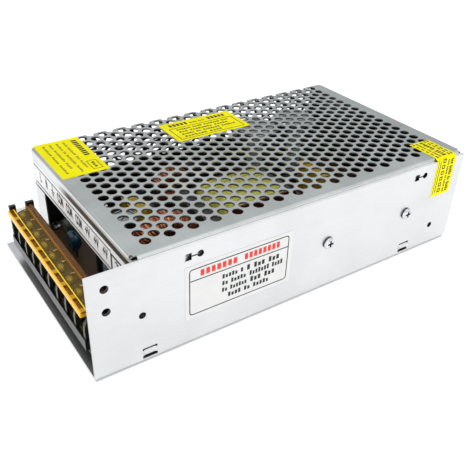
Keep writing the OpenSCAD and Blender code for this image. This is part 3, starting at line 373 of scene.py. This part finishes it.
def sleeved_can(name, top, light, dark):
    """A capacitor in a shrink sleeve: glossy dark film on the sides, slightly wavy every 6 mm, and a bare
    drawn aluminium top from 0.8 mm under its rim."""
    made, tree, shader, coord = surface(name, IOR=1.5)
    height = add(tree, "SeparateXYZ", [coord]).outputs["Z"]
    facing = add(tree, "SeparateXYZ", [add(tree, "NewGeometry").outputs["Normal"]]).outputs["Z"]
    near_top = add(tree, "Math", [height, top - 0.8 * MM], operation="GREATER_THAN")
    flat = add(tree, "Math", [facing, 0.7], operation="GREATER_THAN")
    bare = add(tree, "Math", [near_top, flat], operation="MULTIPLY")
    waves = add(tree, "TexNoise", {"Vector": coord, "Scale": 1 / (6 * MM), "Detail": 2.0})
    film = add(tree, "ValToRGB", [waves], spread(light, dark))
    drawn = add(tree, "ValToRGB", [waves], spread("#d6d8da", "#b9bcc0"))
    feed(tree, shader, {
        "Base Color": add(tree, "Mix", {"Factor": bare, "A": film, "B": drawn}, data_type="RGBA"),
        "Metallic": bare,
        "Roughness": add(tree, "MapRange", {"Value": waves, "To Min": 0.22, "To Max": 0.36}),
        "Normal": add(tree, "Bump", {"Height": waves, "Strength": 0.1, "Distance": 0.05 * MM})})
    return made


def dipped(name, light, dark):
    """Dipped epoxy or lacquer: a thick glossy coat with a slightly orange-peel surface, 1.2 mm from dimple
    to dimple."""
    made, tree, shader, coord = surface(name, IOR=1.55)
    peel = add(tree, "TexNoise", {"Vector": coord, "Scale": 1 / (1.2 * MM), "Detail": 2.0})
    feed(tree, shader, {
        "Base Color": add(tree, "ValToRGB", [peel], spread(light, dark)),
        "Roughness": add(tree, "MapRange", {"Value": peel, "To Min": 0.18, "To Max": 0.34}),
        "Normal": add(tree, "Bump", {"Height": peel, "Strength": 0.2, "Distance": 0.04 * MM})})
    return made


def fuse_glass():
    """Clear drawn glass with faint draw lines along the tube, 0.6 mm apart."""
    made, tree, shader, coord = surface("drawn_glass", IOR=1.5, Transmission_Weight=0.95, Roughness=0.03)
    line_scale = (1 / (20 * MM), 1 / (0.6 * MM), 1 / (0.6 * MM))
    drawn = add(tree, "Mapping", {"Vector": coord, "Scale": line_scale})
    lines = add(tree, "TexNoise", {"Vector": drawn, "Scale": 1.0})
    feed(tree, shader, {
        "Base Color": add(tree, "ValToRGB", [lines], spread("#f6fbfa", "#e6f0ee")),
        "Normal": add(tree, "Bump", {"Height": lines, "Strength": 0.05, "Distance": 0.02 * MM})})
    return made


# the label wall: painted shade inside and in its punched holes, and a painted highlight along its cut upper
# edge; the painted shade starts within the sheet's thickness, to take in its inner face, and the wall's
# outer edges stay clear of it
low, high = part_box("chassis")
case_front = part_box("cover")[0][0]
below_edge = high[2] - 1.5 * MM
skin = 1.2 * MM
wall_metal = sheet_aluminium(
    "mill_aluminium_chassis", "#d7d8d9", "#c9cacb", 0,
    shaded_inside=((case_front, low[1] + skin, low[2] + skin), (high[0], high[1], below_edge)),
    painted_top=("#ffffff", "#f6f7f8", high[2] - 0.3 * MM),
    punched=((low[0] + 1.5 * MM, low[1] - 0.1 * MM, low[2] + 2.5 * MM),
             (high[0] - 2.5 * MM, low[1] + 1.6 * MM, below_edge)))

# the cover: painted shade inside in the same way, two tones of painted light on the faces that look up, and
# a dark band of painted reflection on its lip between the terminal strip and the fold, which fades out on
# the way to the far side
low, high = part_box("cover")
skin = 0.6 * MM
face = 0.1 * MM
wall_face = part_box("rating_label")[1][1]
strip_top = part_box("terminal_label")[1][2]
cover_metal = sheet_aluminium(
    "mill_aluminium_cover", "#d8d9da", "#cccdce", 1,
    shaded_inside=((low[0] + skin, low[1] + skin, -1 * MM), (high[0] - skin, high[1] - skin, high[2] - skin)),
    painted_top=("#ced3d2", "#adb3b1", 0.0),
    painted_band=((low[0] - face, low[1], strip_top - 0.2 * MM), (low[0] + face, high[1], strip_top + 2.8 * MM),
             wall_face + 62 * MM, wall_face + 74 * MM))

plating = fine_metal("zinc_plated_steel", "#e2e4e6", "#b4b8bd")
plated_brass = fine_metal("plated_brass", "#f2dc92", "#d2b258")
turned_brass = fine_metal("turned_brass", "#d9b764", "#a8823a")
spring_strip = fine_metal("plated_spring_strip", "#d8cba0", "#a89764")
black_moulding = moulded("black_polyester_moulding", "#101215", "#090a0c", (0.24, 0.36))
package_moulding = moulded("black_epoxy_package", "#1e1e20", "#131315", (0.45, 0.6))
white_moulding = moulded("white_nylon", "#f0efe9", "#e0dfd8")
blue_moulding = moulded("blue_adjuster_moulding", "#2550a8", "#183c86")
red_moulding = moulded("red_selector_moulding", "#c8281f", "#9c1a14")
bobbin_moulding = moulded("phenolic_bobbin", "#6e1a1a", "#48100f", (0.35, 0.5))
green_lens = moulded("green_lens", "#4bc24a", "#2f9a35", (0.15, 0.25), 1.5, 0.005)
pad_rubber = moulded("silicone_pad", "#c4c4c2", "#a9a9a7", (0.6, 0.75), 0.8, 0.02)
fish_paper = moulded("fish_paper", "#e8e6dc", "#d6d3c6", (0.7, 0.85), 0.8, 0.02)
white_film = printed_film("white_label_film", "#f4f4f4", "#eeeeef")
rating_film = printed_film("rating_label_film", "#d8d8d7", "#d3d3d2")
yellow_film = printed_film("yellow_label_film", "#f6ee02", "#ece201", 0.5, 0.05)
raised_amber = printed_film("raised_amber_figures", "#e0b45a", "#cf9e3c", 0.25)
black_ink = ink("black_screen_ink", "#1c1b1a", "#100f0f")
label_ink = ink("dark_ink_on_yellow", "#3c3502", "#2b2601")
pale_label_ink = ink("worn_ink_on_yellow", "#8f8408", "#776d06")
red_ink = ink("red_screen_ink", "#e23b2a", "#d02a1c")
grey_ink = ink("grey_sleeve_ink", "#a9adb2", "#94989e")
tape = winding_tape()
core_ferrite = ferrite()
board_face = laminate(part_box("circuit_board")[0][2] + 0.3 * MM)
box_epoxy = dipped("yellow_box_epoxy", "#e2c02a", "#c7a216")
blue_epoxy = dipped("blue_dipped_epoxy", "#174158", "#0d2838")
green_coat = dipped("dark_green_dipped_coat", "#35463a", "#233027")
core_coat = dipped("yellow_core_coating", "#d9cb3a", "#b8a91e")
resistor_lacquer = dipped("resistor_lacquer", "#93b3ab", "#6f9088")

wear(wall_metal, "chassis")
wear(cover_metal, "cover")
wear(plating, "device_nuts", "fuse_caps")
for screws, axis, out in (("cover_screws", "Y", 1), ("board_screws", "Z", 1), ("device_screws", "Y", -1)):
    wear(cross_head("plated_" + screws, "#dddfe1", "#c0c3c7", screws, axis, out, head=1.7), screws)
wear(cross_head("yellow_plated_screws", "#f8e6a4", "#dfc46a", "terminal_screws", "Z", 1, head=2.2),
     "terminal_screws")
wear(plated_brass, "terminal_plates")
wear(turned_brass, "board_standoffs")
wear(spring_strip, "fuse_clips")
wear(black_moulding, "terminal_block", "selector_slider")
wear(package_moulding, "bridge_rectifier", "output_rectifier", "switching_transistor", "control_chip")
wear(amber_polycarbonate(), "terminal_cover")
wear(blue_moulding, "adjuster_body")
wear(white_moulding, "adjuster_rotor")
wear(green_lens, "status_light")
wear(red_moulding, "selector_body")
wear(core_ferrite, "transformer_core", "drive_core", "filter_core")
wear(bobbin_moulding, "transformer_bobbin")
wear(tape, "transformer_winding", "drive_winding")
wear(core_coat, "choke_core")
for ring in ("choke", "filter"):
    low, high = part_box(ring + "_core")
    ring_x = (low[0] + high[0]) / 2
    ring_z = (low[2] + high[2]) / 2
    copper = enamelled_copper(ring + "_enamelled_copper", "#f0a070", "#a64e26", ring_x, ring_z)
    wear(copper, ring + "_winding")
for cans, light, dark in (("bulk_capacitors", "#1f2a44", "#161d31"),
                          ("output_capacitors", "#212429", "#15171b"),
                          ("small_capacitors", "#23262e", "#17191f")):
    wear(sleeved_can(cans + "_sleeve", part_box(cans)[1][2], light, dark), cans)
wear(box_epoxy, "film_capacitor", "line_capacitor")
wear(blue_epoxy, "disc_capacitors", "surge_disc")
wear(green_coat, "inrush_disc")
wear(fuse_glass(), "fuse_tube")
wear(board_face, "circuit_board")
wear(fish_paper, "insulating_sheet")
wear(pad_rubber, "insulating_pads")
wear(resistor_lacquer, "resistors")
wear(white_film, "terminal_label")
wear(rating_film, "rating_label")
wear(yellow_film, "corner_label", "top_label", "seal_label")


# printing

def plane(origin, right, up):
    """A drawing plane: its origin in metres and the directions of its own x and y; its z points outwards."""
    right, up = Vector(right), Vector(up)
    return Matrix.Translation(origin) @ Matrix((right, up, right.cross(up))).transposed().to_4x4()


def place(name, bm, material, body="supply"):
    """Makes a finished piece from a bmesh that already lies in its place."""
    mesh = bpy.data.meshes.new(name)
    bm.to_mesh(mesh)
    bm.free()
    mesh.materials.append(material)
    piece = bpy.data.objects.new(name, mesh)
    bpy.context.scene.collection.objects.link(piece)
    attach(piece, body)


def rectangle(bm, x, y, width, height, z):
    """A flat rectangle with its centre at x, y; its corners are given back."""
    there = Matrix.Translation((x, y, z)) @ Matrix.Diagonal((width, height, 1, 1))
    return bmesh.ops.create_grid(bm, x_segments=1, y_segments=1, size=0.5, matrix=there)["verts"]


def printed(name, on, bars, material, frames=()):
    """Flat print on a plane, in mm. Each bar is (centre x, centre y, width, height). A frame is an open
    rectangle, (centre x, centre y, width, height, line, corner radius)."""
    thick = 0.02
    bm = bmesh.new()
    for x, y, width, height, line, radius in frames:
        drawn = set(bm.faces)
        corners = rectangle(bm, x, y, width, height, thick)
        if radius:
            bmesh.ops.bevel(bm, geom=corners, offset=radius, offset_type="OFFSET", affect="VERTICES",
                            segments=6, profile=0.5, material=-1)
        inner = [face for face in bm.faces if face not in drawn]
        bmesh.ops.inset_region(bm, faces=inner, thickness=line, use_boundary=True, use_even_offset=True)
        bmesh.ops.delete(bm, geom=inner, context="FACES_ONLY")
    for x, y, width, height in bars:
        rectangle(bm, x, y, width, height, thick)
    raised = bmesh.ops.extrude_face_region(bm, geom=bm.faces[:])
    top_verts = [v for v in raised["geom"] if isinstance(v, bmesh.types.BMVert)]
    bmesh.ops.translate(bm, verts=top_verts, vec=(0, 0, thick))
    bmesh.ops.transform(bm, matrix=on @ Matrix.Scale(MM, 4), verts=bm.verts)
    bmesh.ops.recalc_face_normals(bm, faces=bm.faces)
    place(name, bm, material)


def line_of_blocks(x, y, length, height, words, even=False):
    """A line of print as plain blocks in place of letters: groups that fill a length, with wider gaps
    between groups. Blocks stand on one base line, all of one height where even, else of three heights."""
    # a gap between groups and a block's width, both as shares of the step from block to block
    gap = 0.8
    fill = 0.68
    heights = (1.0, 0.74, 0.88)
    step = length / (sum(words) + gap * (len(words) - 1))
    bars = []
    for count in words:
        for k in range(count):
            tall = height if even else height * heights[k % len(heights)]
            bars.append((x + step * (k + 0.5), y - (height - tall) / 2, step * fill, tall))
        x += step * (count + gap)
    return bars


def figures(name, words, on, material, body, size, bold, thick):
    """Plain figures and signs as raised print; words are (text, x, y, narrow) in mm, centred. Narrow
    squeezes their width, bold thickens their strokes in mm."""
    bm = bmesh.new()
    for text, x, y, narrow in words:
        curve = bpy.data.curves.new(name + "_outline", "FONT")
        curve.body = text
        curve.size = size
        curve.offset = bold
        curve.extrude = thick / 2
        curve.align_x = "CENTER"
        curve.align_y = "CENTER"
        holder = bpy.data.objects.new(name + "_line", curve)
        bpy.context.scene.collection.objects.link(holder)
        bpy.context.view_layer.update()
        evaluated = holder.evaluated_get(bpy.context.evaluated_depsgraph_get())
        shape = bpy.data.meshes.new_from_object(evaluated)
        shape.transform(Matrix.Translation((x, y, thick / 2)) @ Matrix.Diagonal((narrow, 1, 1, 1)))
        bm.from_mesh(shape)
        bpy.data.objects.remove(holder)
        bpy.data.curves.remove(curve)
        bpy.data.meshes.remove(shape)
    bmesh.ops.transform(bm, matrix=on @ Matrix.Scale(MM, 4), verts=bm.verts)
    place(name, bm, material, body)


# rating label on the label wall: x from its left edge, y from its lower edge
rating = plane(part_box("rating_label")[0], (1, 0, 0), (0, 0, 1))
hairline = 0.45
lines = []
for x, y, length, height, words in ((17, 15.5, 10.5, 2.1, (5, 1)), (29, 15.6, 17, 2.6, (1, 3, 3)),
                                    (17, 12.1, 12, 2.1, (2, 5)), (30.5, 12.2, 17.5, 2.4, (7, 4)),
                                    (17, 8.7, 12.5, 2.1, (2, 6)), (31, 8.8, 13, 2.6, (3, 3)),
                                    (20, 5.3, 21, 2.2, (4, 2, 5))):
    lines += line_of_blocks(x, y, length, height, words)
heading = line_of_blocks(6.5, 21.4, 18, 2.9, (7,), even=True)
heading += line_of_blocks(27.5, 21.4, 18.5, 2.9, (8,), even=True)
printed("rating_border", rating, [(26.2, 18.6, 48.0, hairline)], black_ink,
        frames=[(26.2, 13.0, 48.9, 22.7, hairline, 1.6)])
printed("rating_lines", rating, lines, black_ink)
printed("rating_heading", rating, heading, red_ink)

# strip above the terminals: x runs from its far end to its near end, y from its lower edge; each terminal
# has a sign, and a cell at the near end holds the adjuster's mark
low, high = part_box("terminal_label")
strip = plane((low[0], high[1], low[2]), (0, -1, 0), (0, 0, 1))
strip_l = (high[1] - low[1]) / MM
strip_h = (high[2] - low[2]) / MM
rule = 0.6
# where the outer face of the label wall lies; places along the strip are counted back from it
near_end = strip_l + (low[1] - wall_face) / MM
cell_x = near_end - 19.6
mark_x = near_end - 14.5
sign_y = 6.2
sign_x = [near_end - away for away in (25.3, 33.9, 42.6, 51.8, 62.4, 72.9, 82.0, 90.0, 97.6)]
earth_x = sign_x[6]
upper_rule = (cell_x / 2, strip_h - 1.8, cell_x, rule)
lower_rule = (strip_l / 2, 1.3, strip_l, rule)
cell_side = (cell_x, strip_h / 2 - 0.55, 1.3, strip_h - 3.7)
cell_top = ((cell_x + strip_l) / 2, strip_h - 2.9, strip_l - cell_x, 1.0)
printed("strip_rules", strip, [upper_rule, lower_rule, cell_side, cell_top], black_ink)
# each sign and how narrow it is; the seventh terminal has the earth mark, which is drawn as bars
signs = [("+V", 0.6)] * 3 + [("COM", 0.44)] * 3 + [None, ("N", 0.5), ("L", 0.5)]
figures("strip_signs", [(sign[0], x, sign_y, sign[1]) for sign, x in zip(signs, sign_x) if sign],
        strip, black_ink, "supply", size=6.8, bold=0.24, thick=0.04)
earth_bars = [(earth_x, 6.4 - 1.1 * k, 4.2 - 1.4 * k, rule) for k in range(3)]
printed("strip_earth", strip, [(earth_x, 8.0, rule, 3.2)] + earth_bars, black_ink)
printed("strip_adjuster_mark", strip,
        [(mark_x, 7.4, 3.6, rule), (mark_x, 7.4, rule, 3.6), (mark_x, 4.2, 3.6, rule)], black_ink)

# corner label on the top, read from the far edge towards the label wall
low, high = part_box("corner_label")
corner = plane((low[0], high[1], high[2]), (0, -1, 0), (1, 0, 0))
corner_rows = ((30, (4, 7, 3, 6)), (33, (6, 2, 8, 5)), (28, (3, 8, 4)), (32, (7, 5, 6)))
lines = []
for k, (length, words) in enumerate(corner_rows):
    lines += line_of_blocks(3.0, 13.7 - 3.3 * k, length, 1.1, words)
heading = line_of_blocks(2.5, 18.6, 19, 2.6, (9,), even=True)
heading += line_of_blocks(28.4, 17.6, 6.2, 1.4, (3,))
printed("corner_lines", corner, lines, pale_label_ink)
printed("corner_heading", corner, heading, label_ink,
        frames=[(31.5, 17.6, 9, 4.6, 0.3, 0.3)])

# top label, read from the label wall
low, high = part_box("top_label")
top = plane((low[0], low[1], high[2]), (1, 0, 0), (0, 1, 0))
lines = line_of_blocks(4, 18.6, 11, 2.8, (5,), even=True)
lines += line_of_blocks(15.8, 18.0, 9, 1.2, (4, 3))
lines += line_of_blocks(27, 18.6, 11, 2.8, (5,), even=True)
top_rows = ((31, (6, 4, 7, 3)), (29, (3, 8, 5)), (32, (5, 2, 7, 6)), (22, (7, 4)))
for k, (length, words) in enumerate(top_rows):
    lines += line_of_blocks(5.4, 12.8 - 2.9 * k, length, 1.4, words)
printed("top_lines", top, lines, label_ink, frames=[(21.1, 8.4, 37.6, 13.6, 0.4, 0.3)])

# seal label folded over the edge: marks and a column of print on the wall, rows of dashes on the top
low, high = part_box("seal_label")
seal_wall = plane(low, (1, 0, 0), (0, 0, 1))
seal_top = plane((high[0], low[1], high[2]), (0, 1, 0), (-1, 0, 0))
seal_drop = plane((low[0], low[1], high[2]), (0, 0, -1), (1, 0, 0))
seal_l = (high[2] - low[2]) / MM
rows = range(6)
marks = [(5.0, 2.8 + 3.2 * k, 2.2, 2.2, 0.55, 0) for k in rows]
column = line_of_blocks(1.6, 8.2, 18, 1.3, (5, 7, 3, 6, 4))
column += line_of_blocks(1.6, 10.8, 18, 2.3, (3, 5, 2, 5))
dashes = [(2.6 + 3.0 * k, side, 1.9, 0.8) for k in rows for side in (1.6, 3.4, 11.6)]
lines = line_of_blocks(2, 9.4, 16, 1.2, (6, 3, 7)) + line_of_blocks(2, 6.4, 16, 2.3, (4, 6))
margin_rules = [(1.0, seal_l / 2, 0.35, seal_l - 2), (2.4, seal_l / 2, 0.5, seal_l - 4)]
printed("seal_marks", seal_wall, margin_rules, label_ink, frames=marks)
printed("seal_column", seal_drop, column, label_ink)
printed("seal_dashes", seal_top, dashes + lines, label_ink)

# figures moulded on the amber cover, read from the terminal end; the last stands 5.65 mm from the end of
# the terminal block
low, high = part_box("terminal_cover")
lid = plane((low[0] + 7.0 * MM, high[1], low[2] + LID_TOP * MM), (0, -1, 0), (1, 0, 0))
last_x = (high[1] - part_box("terminal_block")[0][1]) / MM - 5.65
figures("cover_figures", [(str(WAYS - k), last_x - WAY_PITCH * k, 0, 0.8) for k in range(WAYS)], lid,
        raised_amber, "terminal_lid", size=2.4, bold=0.0, thick=0.15)


# sleeve print on the capacitors

def sleeve_stripe(name, centres, radius, foot, top, material):
    """A printed stripe down the side of each can, spun about the can's axis."""
    start, width = math.radians(215), math.radians(38)
    bm = bmesh.new()
    for x, y in centres:
        edge_x = x + radius * math.cos(start)
        edge_y = y + radius * math.sin(start)
        ends = [bm.verts.new((edge_x, edge_y, z)) for z in (foot, top)]
        edge = bm.edges.new(ends)
        bmesh.ops.spin(bm, geom=[edge, *ends], cent=(x, y, 0), axis=(0, 0, 1), angle=width, steps=8)
    bmesh.ops.recalc_face_normals(bm, faces=bm.faces)
    place(name, bm, material)


# the cans' centres in mm from the middle of the case, and how far the print stands proud of a sleeve; the
# loop gives each group of cans its diameter
output_cans = ((-71.3, -38), (-71.3, -24), (-71.3, -10), (-59.3, 0))
bulk_cans = ((36.5, 34), (63.5, 34))
proud = 0.05
for cans, size, centres in (("output_capacitors", 12.5, output_cans), ("bulk_capacitors", 25, bulk_cans)):
    low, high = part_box(cans)
    sleeve_stripe(cans + "_stripe", [(x * MM, y * MM) for x, y in centres], (size / 2 + proud) * MM,
                  low[2] + 0.24 * size * MM, high[2] - 0.08 * size * MM, grey_ink)


# floor, light and camera

bm = bmesh.new()
bmesh.ops.create_grid(bm, x_segments=2, y_segments=2, size=40.0)
ground = bpy.data.meshes.new("floor")
bm.to_mesh(ground)
bm.free()
floor = bpy.data.objects.new("floor", ground)
bpy.context.scene.collection.objects.link(floor)
# pale backdrop paper, matt, with a faint cloud every 300 mm; it glows more with distance, so that it stays
# white to the horizon, and not under the case
paper, tree, shader, coord = surface("pale_backdrop_paper", Roughness=0.85, Emission_Color=(1, 1, 1, 1))
fibre = add(tree, "TexNoise", {"Vector": coord, "Scale": 1 / (300 * MM), "Detail": 1.0})
away = add(tree, "VectorMath", [coord], operation="LENGTH")
glow = add(tree, "MapRange", {"Value": away, "From Min": 0.5, "From Max": 2.5,
                              "To Min": 0.42, "To Max": 0.8})
low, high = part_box("chassis")
covered = inside_of(tree, coord, (low[0], low[1], -1), (high[0], high[1], 1))
open_floor = add(tree, "Math", [1.0, covered], operation="SUBTRACT")
feed(tree, shader, {"Base Color": add(tree, "ValToRGB", [fibre], spread("#f7f7f7", "#f4f4f4")),
                    "Emission Strength": add(tree, "Math", [glow, open_floor], operation="MULTIPLY")})
ground.materials.append(paper)


def soft_light(name, at, size, power):
    """A large area light aimed at the middle of the case."""
    lamp = bpy.data.lights.new(name, "AREA")
    lamp.energy = power
    lamp.size = size
    holder = bpy.data.objects.new(name, lamp)
    bpy.context.scene.collection.objects.link(holder)
    holder.visible_camera = False
    holder.location = at
    middle = Vector((0, 0, 20 * MM))
    holder.rotation_euler = (middle - Vector(at)).to_track_quat("-Z", "Y").to_euler()


soft_light("key_softbox", at=(-0.7, -1.0, 1.3), size=3.4, power=32)
soft_light("fill_softbox", at=(0.9, -0.8, 1.2), size=2.2, power=13)

# a sky that is brightest along the horizon and again overhead; above the horizon it is darker on the side
# of the two softboxes, which add to it in a reflection
world = bpy.data.worlds.new("studio")
bpy.context.scene.world = world
world.use_nodes = True
tree = world.node_tree
_, outward_y, outward_z = add(tree, "SeparateXYZ", [add(tree, "TexCoord").outputs["Generated"]]).outputs
overhead = add(tree, "MapRange", {"Value": outward_z, "From Min": 0.34, "From Max": 0.66,
                                  "To Min": 0.46, "To Max": 1.15})
upper_sky = add(tree, "MapRange", {"Value": outward_y, "From Min": -0.2, "From Max": 0.4,
                                   "To Min": 0.15, "To Max": overhead})
sweep = add(tree, "MapRange", {"Value": outward_z, "From Min": 0.12, "From Max": 0.28,
                               "To Min": 1.2, "To Max": upper_sky})
feed(tree, tree.nodes["Background"], {"Color": srgb("#f0f1f3"), "Strength": sweep})

lens = bpy.data.cameras.new("camera")
lens.sensor_width = 36
lens.lens = 48.003
lens.clip_start = 0.01
camera = bpy.data.objects.new("camera", lens)
bpy.context.scene.collection.objects.link(camera)
camera.location = (-0.15587, -0.22211, 0.17957)
camera.rotation_euler = [math.radians(a) for a in (56.9847, -1.9744, -34.0549)]
bpy.context.scene.camera = camera
bpy.context.scene.view_settings.view_transform = "Standard"
